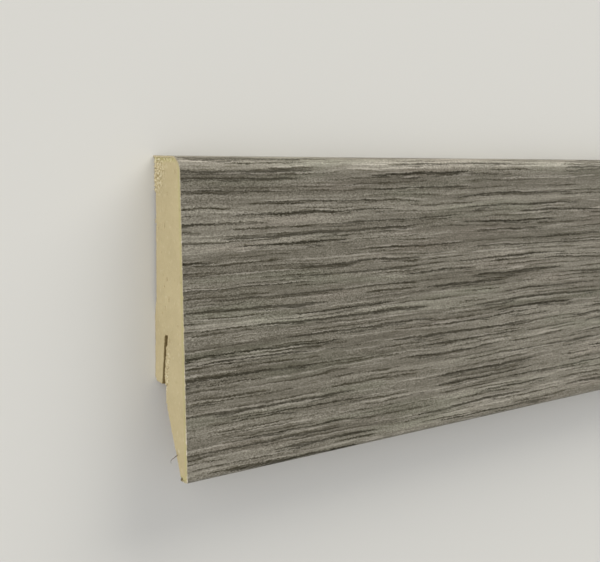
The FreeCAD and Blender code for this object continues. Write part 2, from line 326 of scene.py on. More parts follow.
class Shading:
    """Short names for the nodes of a material or world. A value is a number, a colour or a node's output."""

    def __init__(self, owner):
        owner.use_nodes = True
        self.owner = owner
        self.tree = owner.node_tree
        self.tree.nodes.clear()

    def add(self, kind, inputs=(), **settings):
        """The outputs of a new node. Its inputs are given in their order, or by name or number."""
        node = self.tree.nodes.new(kind)
        for key, value in settings.items():
            setattr(node, key, value)
        for key, value in inputs.items() if isinstance(inputs, dict) else enumerate(inputs):
            if isinstance(value, bpy.types.NodeSocket):
                self.tree.links.new(value, node.inputs[key])
            else:
                node.inputs[key].default_value = value
        return node.outputs

    def surface(self, colour, roughness, specular, normal=None):
        """Ends the material with a surface of these values, and returns it."""
        inputs = {"Base Color": colour, "Roughness": roughness, "Specular IOR Level": specular}
        if normal is not None:
            inputs["Normal"] = normal
        self.add("ShaderNodeOutputMaterial", self.add("ShaderNodeBsdfPrincipled", inputs)[:1])
        return self.owner

    def math(self, operation, first, second=0.0, third=0.0, clamp=False):
        return self.add("ShaderNodeMath", (first, second, third), operation=operation, use_clamp=clamp)[0]

    plus = partialmethod(math, "ADD")
    minus = partialmethod(math, "SUBTRACT")
    times = partialmethod(math, "MULTIPLY")
    over = partialmethod(math, "DIVIDE")
    larger = partialmethod(math, "MAXIMUM")
    times_plus = partialmethod(math, "MULTIPLY_ADD")

    def vector(self, x, y, z):
        return self.add("ShaderNodeCombineXYZ", (x, y, z))[0]

    def split(self, vector):
        return self.add("ShaderNodeSeparateXYZ", (vector,))

    def noise(self, vector, detail, roughness=0.5, scale=1.0):
        """Noise from 0 to 1, mostly near a half."""
        inputs = {"Vector": vector, "Scale": scale, "Detail": detail, "Roughness": roughness}
        return self.add("ShaderNodeTexNoise", inputs, noise_dimensions="3D")["Fac"]

    def chance(self, x, y, z=0.0):
        """Three random numbers from 0 to 1 for each whole-number place."""
        inputs = {"Vector": self.vector(x, y, z)}
        colour = self.add("ShaderNodeTexWhiteNoise", inputs, noise_dimensions="3D")["Color"]
        return self.add("ShaderNodeSeparateColor", (colour,))

    def ramp(self, value, low, high, to_low=0.0, to_high=1.0):
        """A soft change from to_low at low to to_high at high. Low may be the larger of the two."""
        inputs = (value, low, high, to_low, to_high)
        return self.add("ShaderNodeMapRange", inputs, interpolation_type="SMOOTHSTEP", clamp=True)[0]

    def mix(self, factor, first, second, blend="MIX"):
        """A mix of two colours, through the node's colour sockets."""
        inputs = {0: factor, 6: first, 7: second}
        return self.add("ShaderNodeMix", inputs, data_type="RGBA", blend_type=blend)[2]

    def attribute(self, name):
        return self.add("ShaderNodeAttribute", attribute_name=name)["Fac"]

    def place_mm(self):
        """The place on the object, in millimetres."""
        inputs = {0: self.add("ShaderNodeTexCoord")["Object"], "Scale": 1 / MM}
        return self.split(self.add("ShaderNodeVectorMath", inputs, operation="SCALE")[0])

    def bump(self, height, distance, strength=1.0):
        """A bent normal from a height of 0 to 1 that stands for this distance in millimetres."""
        inputs = {"Strength": strength, "Distance": distance * MM, "Height": height}
        return self.add("ShaderNodeBump", inputs)[0]


# Where on the printed sheet this length is cut from, along the grain and across it.
PRINT_ALONG = 300.0
PRINT_ACROSS = 11.2

# Rows of grain lines are moved along the board by up to this much, so that their runs don't line up.
ROW_SHIFT = 977.0

# How far the painted highlight beside a grain line reaches beyond the line.
HIGHLIGHT_REACH = 0.3


class Strokes:
    """Grain lines in rows, on a sheet with the place u along the grain and v across it, in millimetres.

    The rows are a pitch apart. Each is cut into runs, and a share of the runs carries a line of about the
    given width times swell, which tapers at either end over the given part of the run. What the methods
    return, and the core, which is the line itself, go from 0 to 1.
    """

    def __init__(self, s, u, v, seed, pitch, run, share, width, taper=0.25, swell=1.0):
        self.s, self.pitch = s, pitch
        row_place = s.over(v, pitch)
        row = s.math("FLOOR", row_place)
        across = s.math("FRACT", row_place)
        row_chance = s.chance(row, seed)
        moved = s.plus(u, s.times(row_chance[0], ROW_SHIFT))
        run_place = s.over(moved, run)
        cell = s.math("FLOOR", run_place)
        along = s.math("FRACT", run_place)
        first = s.chance(row, cell, seed + 0.5)
        second = s.chance(row, cell, seed + 7.5)
        active = s.math("LESS_THAN", first[0], share)

        # The line's middle lies in the middle half of its row and slants a little.
        middle = s.times_plus(first[1], 0.5, 0.25)
        slant = s.times_plus(second[1], 0.4, -0.2)
        middle = s.plus(middle, s.times(slant, s.minus(along, 0.5)))
        self.offset = s.minus(across, middle)
        self.distance = s.math("ABSOLUTE", self.offset)

        # It starts and ends within the outer 0.3 of its run, and is thinnest there.
        start = s.times(second[0], 0.3)
        end = s.times_plus(first[2], -0.3, 1.0)
        rise = s.ramp(along, start, s.plus(start, taper))
        fall = s.ramp(along, end, s.minus(end, taper))
        body = s.times(rise, fall)
        half = s.times(s.times_plus(second[2], 0.7, 0.55), width / pitch / 2)
        half = s.times(half, s.times_plus(body, 0.7, 0.3))
        self.half = s.times(half, swell)
        ends = s.ramp(body, 0.0, 0.35)
        self.strength = s.times(s.times(ends, active), s.times_plus(first[2], 0.3, 0.7))

        # Which side its shade is on.
        side = s.times_plus(s.math("GREATER_THAN", second[2], 0.5), 2.0, -1.0)
        self.beyond = s.times(self.offset, side)
        self.core = self.band(1.1, 0.8)

    def band(self, outer, inner):
        """A band that fades from the inner to the outer multiple of the line's half width."""
        s = self.s
        fade = s.ramp(self.distance, s.times(self.half, outer), s.times(self.half, inner))
        return s.times(fade, self.strength)

    def shoulder(self):
        """A wider band round the line."""
        return self.band(2.3, 0.9)

    def shade(self, fringe):
        """A band along one side of the line, which fades out over the fringe in millimetres."""
        s = self.s
        fade = s.ramp(self.beyond, fringe / self.pitch, 0.0)
        return s.times(s.times(fade, s.math("GREATER_THAN", self.beyond, 0.0)), self.strength)

    def lit(self):
        """A thin painted highlight along the line's other side, standing for light caught by an embossed
        lip.
        """
        s = self.s
        other = s.times(self.beyond, -1.0)
        rise = s.ramp(other, s.times(self.half, 0.9), s.times(self.half, 1.7))
        fall = s.ramp(other, s.times_plus(self.half, 1.9, HIGHLIGHT_REACH / self.pitch), s.times(self.half, 1.8))
        return s.times(s.times(rise, fall), self.strength)


# How much light the darkest ground of the print reflects, and by how much more the palest does.
GROUND_LEAST = 0.033
GROUND_RANGE = 0.337


def print_ground(s, grain, bent):
    """The printed wood under its lines, with painted glints on it. Returns (colour, speckle, streaks)."""
    band = grain(90.0, 4.2, 1.9, 2.0, across=bent)
    streak = grain(48.0, 0.8, 4.4, 2.0, 0.55, across=bent)
    hairline = grain(12.0, 0.32, 2.6, across=bent)
    speck = grain(0.37, 0.24, 0.7, 1.0, 0.6)
    glint = grain(0.42, 0.3, 12.7, 0.0)
    light = s.ramp(band, 0.34, 0.66, 0.119, 0.178)
    light = s.times(light, s.ramp(streak, 0.25, 0.75, 0.79, 1.22))
    light = s.times(light, s.ramp(hairline, 0.25, 0.75, 0.86, 1.15))
    sandy = s.ramp(grain(20.0, 2.6, 61.3), 0.4, 0.6, 0.7, 1.15)
    spread = s.times(s.ramp(speck, 0.22, 0.78, -0.4, 0.45), sandy)
    light = s.times(light, s.plus(spread, 1.0))
    # Painted glints: tiny bright specks that stand for light caught by the embossing.
    light = s.times(light, s.ramp(glint, 0.66, 0.82, 1.0, 1.4))
    depth = s.times_plus(light, 1 / GROUND_RANGE, -GROUND_LEAST / GROUND_RANGE, clamp=True)
    colour = s.mix(depth, tone(57, 51, 38), tone(170, 165, 152))

    # The bands also differ a little in tint, towards green and towards mauve.
    tint = grain(34.0, 4.0, 6.3, across=bent)
    green = s.mix(s.ramp(tint, 0.52, 0.72), WHITE, (0.974, 1.01, 0.974, 1.0))
    mauve = s.mix(s.ramp(tint, 0.42, 0.26), green, (1.018, 0.994, 1.0, 1.0))
    return s.mix(1.0, colour, mauve, "MULTIPLY"), speck, streak


def decor_material():
    """The print: greyed oak with dark grain lines, fine pores and pale limed streaks, slightly embossed."""
    s = Shading(bpy.data.materials.new("decor_foil_print"))
    u, v, _ = s.split(s.add("ShaderNodeUVMap", uv_map="wrap")[0])

    def grain(length, width, seed, detail=1.0, roughness=0.5, across=v):
        """Noise drawn out along the board to about this length and width, in millimetres."""
        place = s.vector(s.over(u, length), s.over(across, width), seed)
        return s.noise(place, detail, roughness)

    # Everything runs along the same bent grain, and the lines are torn a little as well.
    bent = s.times_plus(grain(150.0, 22.0, 3.1), 4.0, v)
    bent = s.times_plus(grain(26.0, 6.0, 8.7), 1.5, bent)
    bent = s.times_plus(grain(5.0, 2.0, 21.3), 0.55, bent)
    torn = s.times_plus(grain(0.5, 0.28, 5.2, 2.0, 0.6), 0.72, bent)

    # The split lines go with the strong ones and part from them here and there.
    swell = s.ramp(grain(4.5, 0.9, 41.5), 0.3, 0.7, 0.75, 1.15)
    rows = {"seed": 11.0, "pitch": 2.0, "run": 58.0, "share": 0.95, "taper": 0.16, "swell": swell}
    apart = s.times_plus(grain(9.0, 1.5, 27.7), 1.6, s.plus(torn, -0.25))
    strong_lines = Strokes(s, u, torn, width=0.44, **rows)
    split_lines = Strokes(s, u, apart, width=0.32, **rows)
    middle_lines = Strokes(
        s, u, torn, seed=23.0, pitch=1.05, run=32.0, share=0.8, width=0.33, taper=0.2, swell=swell
    )
    pores = Strokes(s, u, torn, seed=37.0, pitch=0.6, run=6.5, share=0.45, width=0.2).core
    limed = Strokes(s, u, torn, seed=51.0, pitch=2.3, run=70.0, share=0.7, width=0.36).core
    thin_limed = Strokes(s, u, torn, seed=67.0, pitch=0.9, run=26.0, share=0.55, width=0.2).core

    colour, speck, streak = print_ground(s, grain, bent)

    # Where the lines are worn, feathered, faded or dashed.
    wear = s.ramp(grain(4.0, 0.4, 9.9, 2.0, 0.6), 0.36, 0.54, 0.35, 1.0)
    feather = s.ramp(grain(2.2, 0.24, 9.9, 2.0, 0.6), 0.45, 0.6)
    faded = s.ramp(grain(9.0, 0.9, 14.2, 2.0, 0.6), 0.34, 0.48, 0.7, 1.0)
    dashes = s.ramp(grain(1.6, 0.2, 47.1), 0.38, 0.5, 0.64, 1.0)
    patches = s.ramp(grain(11.0, 0.7, 19.3, 2.0, 0.6), 0.37, 0.53)

    # Pale limed lines of the print, and painted highlights on the lips beside some of the dark ones.
    limed_and_highlights = s.larger(s.times(limed, 0.55), s.times(thin_limed, 0.5))
    lip_highlights = s.larger(s.times(strong_lines.lit(), 0.5), s.times(middle_lines.lit(), 0.3))
    lip_highlights = s.times(lip_highlights, s.ramp(grain(16.0, 2.5, 31.4), 0.5, 0.62))
    limed_and_highlights = s.times(s.larger(limed_and_highlights, lip_highlights), patches)
    colour = s.mix(limed_and_highlights, colour, tone(178, 172, 161))

    # Dark haze, pores and shoulders, and then the lines themselves.
    haze = s.larger(strong_lines.shade(0.74), s.times(middle_lines.shade(0.5), 0.8))
    haze = s.times(haze, s.times_plus(feather, 0.3, 0.08))
    colour = s.mix(haze, colour, tone(79, 73, 57))
    colour = s.mix(s.times(s.times(pores, wear), 0.6), colour, tone(74, 68, 51))
    sides = s.larger(strong_lines.shoulder(), s.times(middle_lines.shoulder(), 0.7))
    sides = s.times(sides, s.times_plus(feather, 0.4, 0.05))
    colour = s.mix(s.times(sides, faded), colour, tone(66, 60, 43))
    middle = s.times(s.times(middle_lines.core, wear), dashes)
    colour = s.mix(middle, colour, tone(44, 39, 22))
    split = s.times(split_lines.core, s.ramp(grain(11.0, 2.0, 33.9), 0.46, 0.54, 0.0, 0.85))
    strong = s.larger(s.times(strong_lines.core, faded), s.times(split, wear))
    strong = s.times(strong, dashes)
    colour = s.mix(strong, colour, tone(34, 30, 15))

    # The lines are embossed, and duller than the lacquer between them.
    dips = s.larger(s.larger(strong, middle), s.times(pores, 0.6))
    rough = s.times_plus(speck, 0.1, s.times_plus(dips, 0.22, 0.43))
    height = s.times_plus(dips, -1.0, s.times(speck, 0.35))
    height = s.times_plus(streak, 0.4, height)
    return s.surface(colour, rough, 0.24, s.bump(height, 0.05, 0.7))


def foil_edge_material():
    """The foil's cut edge: pale paper with a torn, dusty look. Y and Z are in the row frame."""
    s = Shading(bpy.data.materials.new("decor_foil_cut_edge"))
    x, y, z = s.place_mm()
    place = s.vector(x, y, z)
    fine = s.noise(place, 3.0, 0.6, scale=5.0)
    broad = s.noise(place, 1.0, scale=0.5)
    colour = s.mix(s.ramp(fine, 0.3, 0.7), tone(158, 148, 118), tone(186, 176, 144))

    # Bright dust, most of it on the lower third and little of it on the nose.
    low = s.ramp(y, -10.0, -18.0)
    high = s.ramp(y, 27.4, 28.6)
    bright = s.times(s.ramp(broad, 0.45, 0.62), s.times_plus(low, 0.65, 0.12))
    spots = s.ramp(s.noise(place, 1.0, scale=1.3), 0.57, 0.66, 0.0, 0.6)
    beads = s.ramp(s.noise(place, 1.0, scale=2.4), 0.42, 0.56, 0.25, 1.0)
    bright = s.times(s.larger(bright, spots), beads)
    bright = s.times(bright, s.times_plus(high, -0.4, 1.0))
    colour = s.mix(s.times(high, 0.7), colour, tone(184, 170, 133))
    colour = s.mix(bright, colour, tone(226, 214, 200))
    colour = s.mix(s.ramp(broad, 0.42, 0.3, 0.0, 0.5), colour, tone(150, 134, 118))

    # The foil is darker at the back corner of the toe, at the floor edge.
    heel = s.times(s.ramp(z, 10.5, 9.8), s.ramp(y, -27.8, -28.4))
    colour = s.mix(s.times(heel, 0.75), colour, tone(92, 78, 52))
    return s.surface(colour, s.times_plus(fine, 0.15, 0.75), 0.25, s.bump(fine, 0.06))


def mdf_material():
    """Fibreboard: even tan with fine fibre specks and pale bruises, with painted shade darkening its pits
    and its slot.
    """
    s = Shading(bpy.data.materials.new("mdf_fibre"))
    x, y, z = s.place_mm()
    broad = s.noise(s.vector(x, y, z), 2.0, scale=0.14)
    end_grain = s.noise(s.vector(x, s.times(y, 0.55), z), 3.0, 0.6, 2.2)
    streak = s.noise(s.vector(s.over(x, 30.0), s.over(y, 0.7), s.over(z, 0.7)), 3.0, 0.6)
    fibre = s.noise(s.vector(s.over(x, 1.6), s.over(y, 0.5), s.over(z, 0.5)), 3.0, 0.65)
    planed = s.mix(s.ramp(streak, 0.3, 0.7), tone(160, 138, 101), tone(181, 160, 122))
    planed = s.mix(s.ramp(fibre, 0.55, 0.75, 0.0, 0.35), planed, tone(126, 102, 70))
    planed = s.mix(s.ramp(fibre, 0.42, 0.28, 0.0, 0.3), planed, tone(201, 184, 148))
    cut = s.mix(s.ramp(broad, 0.3, 0.7), tone(180, 166, 130), tone(187, 173, 136))
    cut = s.mix(s.ramp(end_grain, 0.55, 0.75, 0.0, 0.28), cut, tone(160, 143, 103))
    cut = s.mix(s.ramp(end_grain, 0.42, 0.27, 0.0, 0.3), cut, tone(205, 192, 156))
    colour = s.mix(s.attribute("sawn"), planed, cut)
    colour = s.mix(s.times(s.attribute("rim"), 0.7), colour, tone(176, 169, 118))
    colour = s.mix(s.attribute("pale"), colour, tone(214, 204, 172))
    # The dark share is painted shade in the slot, on the leg beside it, in the pits and in the torn holes;
    # it also darkens the nick and the rub on the near end.
    colour = s.mix(s.attribute("dark"), colour, tone(96, 76, 26))
    normal = s.bump(s.plus(end_grain, streak), 0.05, 0.8)
    return s.surface(colour, s.times_plus(fibre, 0.2, 0.72), 0.2, normal)


def fibre_material(name, scale, darker, paler, rough_range, rough_least, specular):
    """A matt fibre whose colour changes a little along its length."""
    s = Shading(bpy.data.materials.new(name))
    change = s.noise(s.vector(*s.place_mm()), 2.0, scale=scale)
    rough = s.times_plus(change, rough_range, rough_least)
    return s.surface(s.mix(change, darker, paler), rough, specular, s.bump(change, 0.02))


# The sawn ends

# How far the saw cut lies inside the nominal end, in the mean and at the least.
CUT_DEPTH = 0.17
CUT_LEAST = 0.015

# The saw's marks: how far apart they are, and the way across them on the section.
MARK_PITCH = 1.7
MARK_WAY = (0.94, 0.34)

# Spots on the near end: a dark nick at the back corner of the toe, and a pale bruise and a rub above it.
NICK = (0.22, 9.55)
BRUISE = (5.2, 8.7)
RUB = (4.7, 8.2)

# From the end inwards, the relief of the cut dies out over the first distance, the look of sawn board over
# the second, its pale and dark spots over the third, and the chips of its edges over the last.
RELIEF_FADE = 1.2
SAWN_FADE = 0.5
SPOT_FADE = 0.4
CHIP_FADE = 1.6


def torn_share(point):
    """Where the saw tore the board, from 0 to 1: the top back corner and the front wall of the slot."""
    h, z = point
    corner = smooth(49.5, 54.0, h) * smooth(4.3 + 1.3 * smooth(52.5, 56.0, h), 1.7, z)
    rim = smooth(56.7, 57.3, h) * smooth(7.8, 6.2, z)
    off, rise = slot_place(point)
    wall = smooth(0.2, 0.6, off) * smooth(1.9, 0.9, off) * smooth(8.0, 5.0, rise) * smooth(-1.6, -0.2, rise)
    return max(corner, 0.8 * rim, wall)


def spot(point, centre, inner, outer, squeeze=1.0):
    """1 within the inner distance of a centre and 0 beyond the outer one. Squeeze makes the spot deeper."""
    return smooth(outer, inner, math.hypot(point[0] - centre[0], (point[1] - centre[1]) * squeeze))


def saw_depth(point, end):
    """How far the saw cut lies inside the board's nominal end, and how pale and how dark it is there."""
    h, z = point
    shift = 40.0 * end
    depth = CUT_DEPTH
    depth += 0.03 * soft_noise(h / 0.75, z / 0.6, 3.0 + shift)
    depth += 0.02 * soft_noise(h / 0.33, z / 0.33, 9.0 + shift)
    depth += 0.05 * soft_noise(h / 4.0, z / 3.0, 17.0 + shift)
    turn = (h * MARK_WAY[0] + z * MARK_WAY[1]) * 2 * math.pi / MARK_PITCH
    depth += 0.008 * math.sin(turn + 2.5 * soft_noise(h / 6.0, z / 6.0, shift))

    # Short upright pits where fibres were pulled out, darkened with painted shade.
    pit = smooth(0.55, 0.76, soft_noise(h / 1.6 + 5.0, z / 0.34, 23.0 + shift))
    depth += 0.3 * pit
    dark = 0.4 * pit
    pale = 0.25 * smooth(0.4, 0.65, soft_noise(h / 0.9, z / 0.5, 44.0 + shift))

    # Torn spots are a crumble of pale grains and small holes, with painted shade darkening the holes.
    torn = torn_share(point)
    if torn > 0:
        grain = soft_noise(h / 0.42, z / 0.36, 31.0 + shift)
        grain += 0.5 * soft_noise(h / 0.2, z / 0.2, 35.0 + shift)
        depth += torn * (0.05 - 0.3 * grain)
        pale = max(pale, torn * 0.95 * smooth(0.05, 0.4, grain))
        dark = max(dark, torn * 0.48 * smooth(-0.12, -0.5, grain))

    if end < 0:
        nick = spot(point, NICK, 0.15, 0.6, 0.8)
        bruise = spot(point, BRUISE, 0.15, 0.6)
        depth += 0.12 * nick
        dark = max(dark, nick, 0.16 * spot(point, RUB, 0.2, 0.9))
        pale = max(pale, 0.4 * bruise)
        depth -= 0.04 * bruise
    return max(CUT_LEAST, depth), pale, dark


def slot_closing(rise, end):
    """How far torn fibres close the slot from its front wall, right at the sawn end."""
    top = smooth(9.4, 8.7, rise)
    torn = smooth(7.9, 7.0, rise) * smooth(0.2, 1.6, rise)
    rough = 0.2 * soft_noise(rise / 1.5, 3.3, 60.0 * end) + 0.34 * soft_noise(rise / 0.36, 7.1, 60.0 * end)
    return max(0.0, 0.26 * top + torn * (0.36 + rough))


# Distance of each ring of points from the end of the board. Between the last ones there are plain stretches.
RINGS = [0.0, 0.12, 0.28, 0.5, 0.8, 1.3, 2.2, 4.0]
STRETCHES = 24


def ring_places():
    """Places along the board, each with its distance to the end that it belongs to, and that end or 0."""
    near_end = [(-HALF_LENGTH + d, d, -1) for d in RINGS]
    far_end = [(HALF_LENGTH - d, d, 1) for d in reversed(RINGS)]
    plain = [(-HALF_LENGTH + BOARD_LENGTH * i / STRETCHES, math.inf, 0) for i in range(1, STRETCHES)]
    return near_end + plain + far_end


def cut_place(end, depth, depth_in):
    """Where along the board a ring's point lies that is this deep in the cut at the very end."""
    return end * (HALF_LENGTH - depth * smooth(RELIEF_FADE, 0.0, depth_in) - depth_in)


def inward_normals(points):
    """For each point of a closed outline that runs with the solid on one side, the way into the solid."""
    area = sum(a[0] * b[1] - b[0] * a[1] for a, b in zip(points, points[1:] + points[:1]))
    sign = 1.0 if area > 0 else -1.0
    normals = []
    for before, after in zip(points[-1:] + points[:-1], points[1:] + points[:1]):
        dh, dz = after[0] - before[0], after[1] - before[1]
        size = math.hypot(dh, dz) or 1.0
        normals.append((-dz / size * sign, dh / size * sign))
    return normals


def end_outline(outline, normals, end, depth_in):
    """The core's outline near a sawn end, with its free edges chipped, eased and, in the slot, torn."""
    fade = smooth(CHIP_FADE, 0.0, depth_in)
    shift = 70.0 * end
    points = []
    for ((h, z), surface), (nh, nz) in zip(outline, normals):
        bite = 0.0
        if surface != "foil" and fade > 0:
            under_foil = smooth(0.0, 0.8, min(CORE_TOP - h, h - FOIL_THICKNESS))
            bite = abs(soft_noise(h / 0.5, z / 0.5, 3.0 + shift)) * 0.17
            bite += 0.12 * smooth(0.1, 0.5, soft_noise(h / 1.9, z / 1.9, 8.0 + shift))
            bite += 0.25 * torn_share((h, z)) * abs(soft_noise(h / 0.4, z / 0.4, 12.0 + shift))
            bite = bite * fade * under_foil + 0.05 * smooth(0.25, 0.0, depth_in) * under_foil
        if surface == "slot":
            off, rise = slot_place((h, z))
            if off > 0.3:
                bite = 0.4 * bite - slot_closing(rise, end) * smooth(1.1, 0.1, depth_in)
        points.append((h + nh * bite, z + nz * bite))
    return points


def scattered(step, wanted):
    """Points strewn over the section, a step apart, where the torn share is as wanted."""
    places = []
    for i in range(round(BOARD_HEIGHT / step)):
        for j in range(round(BOARD_THICKNESS / step)):
            h = (i + 0.5 + random.uniform(-0.3, 0.3)) * step
            z = (j + 0.5 + random.uniform(-0.3, 0.3)) * step
            if wanted(torn_share((h, z))):
                places.append((h, z))
    return places


def gap_to(point, segment):
    """Distance of a section point from a straight segment."""
    (h, z), (a, b) = point, segment
    dh, dz = b[0] - a[0], b[1] - a[1]
    length = dh * dh + dz * dz or 1.0
    t = min(1.0, max(0.0, ((h - a[0]) * dh + (z - a[1]) * dz) / length))
    return math.hypot(h - a[0] - t * dh, z - a[1] - t * dz)


# Size of the squares that an outline is sorted into, to find quickly what is near a point.
CELL = 0.5


def keep_inside(points, outline, margin):
    """Those points that lie within the outline, at least a margin from its edge."""
    cells, rows = {}, {}
    for a, b in zip(outline, outline[1:] + outline[:1]):
        for h in (a[0], b[0]):
            for z in (a[1], b[1]):
                cells.setdefault((h // CELL, z // CELL), set()).add((a, b))
        low, high = sorted((a[0], b[0]))
        for row in range(int(low // CELL), int(high // CELL) + 1):
            rows.setdefault(row, []).append((a, b))

    def is_inside(h, z):
        crossings = 0
        for a, b in rows.get(h // CELL, ()):
            if (a[0] > h) != (b[0] > h) and z < a[1] + (h - a[0]) / (b[0] - a[0]) * (b[1] - a[1]):
                crossings += 1
        return crossings % 2 == 1

    def is_clear(h, z):
        around = [(h // CELL + i, z // CELL + j) for i in (-1, 0, 1) for j in (-1, 0, 1)]
        near = (segment for cell in around for segment in cells.get(cell, ()))
        return all(gap_to((h, z), segment) >= margin for segment in near)

    return [(h, z) for h, z in points if is_inside(h, z) and is_clear(h, z)]


# Where more than this share is torn, a sawn end has the finer points. All keep this far from its edge.
TORN = 0.08
EDGE_MARGIN = 0.08


def end_triangles(edge, end):
    """A sawn end's points, its triangles, and for each point the points of the edge that it stands for."""
    random.seed(5 + end)
    loose = scattered(FINE, lambda share: share <= TORN)
    loose += scattered(TORN_FINE, lambda share: share > TORN)
    flat = [Vector(p) for p in edge + keep_inside(loose, edge, EDGE_MARGIN)]
    borders = [(i, (i + 1) % len(edge)) for i in range(len(edge))]
    points, _, triangles, sources, _, _ = delaunay_2d_cdt(flat, borders, [], 1, 1e-7)
    return points, triangles, [[i for i in group if i < len(edge)] for group in sources]


# How dark the painted shade is in the slot, and on the leg next to it above this height.
SLOT_PAINTED_SHADE = 0.75
LEG_PAINTED_SHADE = 0.25
LEG_SHADE_HEIGHT = 15.6


# Painted shade in the slot's recess, and on the leg next to its mouth.
def painted_recess_shade(point, surface):
    if surface == "slot":
        return SLOT_PAINTED_SHADE
    return LEG_PAINTED_SHADE if surface == "leg" and point[0] > LEG_SHADE_HEIGHT else 0.0


def rim_share(point):
    """1 next to the foil, where the glue has tinted the board, and 0 further in."""
    return smooth(1.1, 0.2, foil_distance(point))


def make_core(material):
    """The MDF core, with both sawn ends as real relief."""
    tagged = core_outline()
    outline = [p for p, _ in tagged]
    count = len(outline)
    normals = inward_normals(outline)
    vertices, faces, places = [], [], []
    shares = {"sawn": [], "pale": [], "dark": [], "rim": []}

    def add_vertex(x, point, sawn, pale, dark):
        vertices.append(row_point(x, point))
        for values, value in zip(shares.values(), (sawn, pale, dark, rim_share(point) * sawn)):
            values.append(value)
        return len(vertices) - 1

    rings = []
    for x, depth_in, end in ring_places():
        sawn = smooth(SAWN_FADE, 0.0, depth_in)
        points = end_outline(tagged, normals, end, depth_in)
        ring = []
        for point, (_, surface) in zip(points, tagged):
            # The dark share starts with the painted shade in the slot and on the leg beside it.
            place, pale, dark = x, 0.0, painted_recess_shade(point, surface)
            if end:
                cut, cut_pale, cut_dark = saw_depth(point, end)
                place = cut_place(end, cut, depth_in)
                pale = cut_pale * smooth(SPOT_FADE, 0.0, depth_in)
                dark = max(dark, cut_dark * smooth(SPOT_FADE, 0.0, depth_in))
            ring.append(add_vertex(place, point, sawn, pale, dark))
        rings.append(ring)

    lengths = running_lengths(outline + outline[:1])
    free = next(i for i, (_, surface) in enumerate(tagged) if surface != "foil")
    under_foil = lengths[free]
    for near, far in zip(rings, rings[1:]):
        middle = middle_between(vertices, near, far)
        for i in range(count):
            j = (i + 1) % count
            faces.append((near[i], near[j], far[j], far[i]))
            for vertex, at in ((near[i], i), (near[j], i + 1), (far[j], i + 1), (far[i], i)):
                x = vertices[vertex][0] / MM
                if i < free:
                    places.append(on_band(length_share(x), lengths[at] / under_foil, CORE_UNDER_FOIL))
                else:
                    across = (lengths[at] - under_foil) / (lengths[-1] - under_foil)
                    places.append(on_strip(x, middle, across, CORE_SIDES))

    for ring, end in ((rings[0], -1), (rings[-1], 1)):
        points, triangles, sources = end_triangles(end_outline(tagged, normals, end, 0.0), end)
        vertex_of = []
        for place, on_edge in zip(points, sources):
            if on_edge:
                vertex_of.append(ring[on_edge[-1]])
                continue
            point = (place.x, place.y)
            cut, pale, dark = saw_depth(point, end)
            vertex_of.append(add_vertex(end * (HALF_LENGTH - cut), point, 1.0, pale, dark))
        for triangle in triangles:
            corners = [vertex_of[i] for i in triangle]
            corners = corners if end > 0 else corners[::-1]
            faces.append(corners)
            for vertex in corners:
                h = vertices[vertex][1] / MM + BOARD_HEIGHT / 2
                z = vertices[vertex][2] / MM
                places.append(on_band(h / BOARD_HEIGHT, z / BOARD_THICKNESS, CORE_ENDS[end]))

    core = new_piece("mdf_core_sawn", vertices, faces, [material])
    set_map(core.data, "OFBake", places)
    for name, values in shares.items():
        core.data.attributes.new(name, "FLOAT", "POINT").data.foreach_set("value", values)
    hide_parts("mdf_core")


# The foil

# The foil's two finishes, by their place in its list of materials.
PRINTED = 0
PLAIN = 1


def foil_rag(along, layer, end):
    """How far the foil's ragged cut lies inside the nominal end, at a place along its section."""
    rag = 0.05 + 0.05 * soft_noise(along / 0.5, layer * 0.4, 5.0 * end)
    rag += 0.1 * smooth(0.3, 0.6, soft_noise(along / 1.4, layer * 0.2, 9.0 + 5.0 * end))
    return max(0.0, rag)


def between(upper, lower):
    """Triangles between two open rows of points that may differ in number."""
    last_upper, last_lower = len(upper) - 1, len(lower) - 1
    i = j = 0
    made = []
    while i < last_upper or j < last_lower:
        if j == last_lower or (i < last_upper and (i + 1) / last_upper <= (j + 1) / last_lower):
            made.append((upper[i], upper[i + 1], lower[j]))
            i += 1
        else:
            made.append((upper[i], lower[j + 1], lower[j]))
            j += 1
    return made


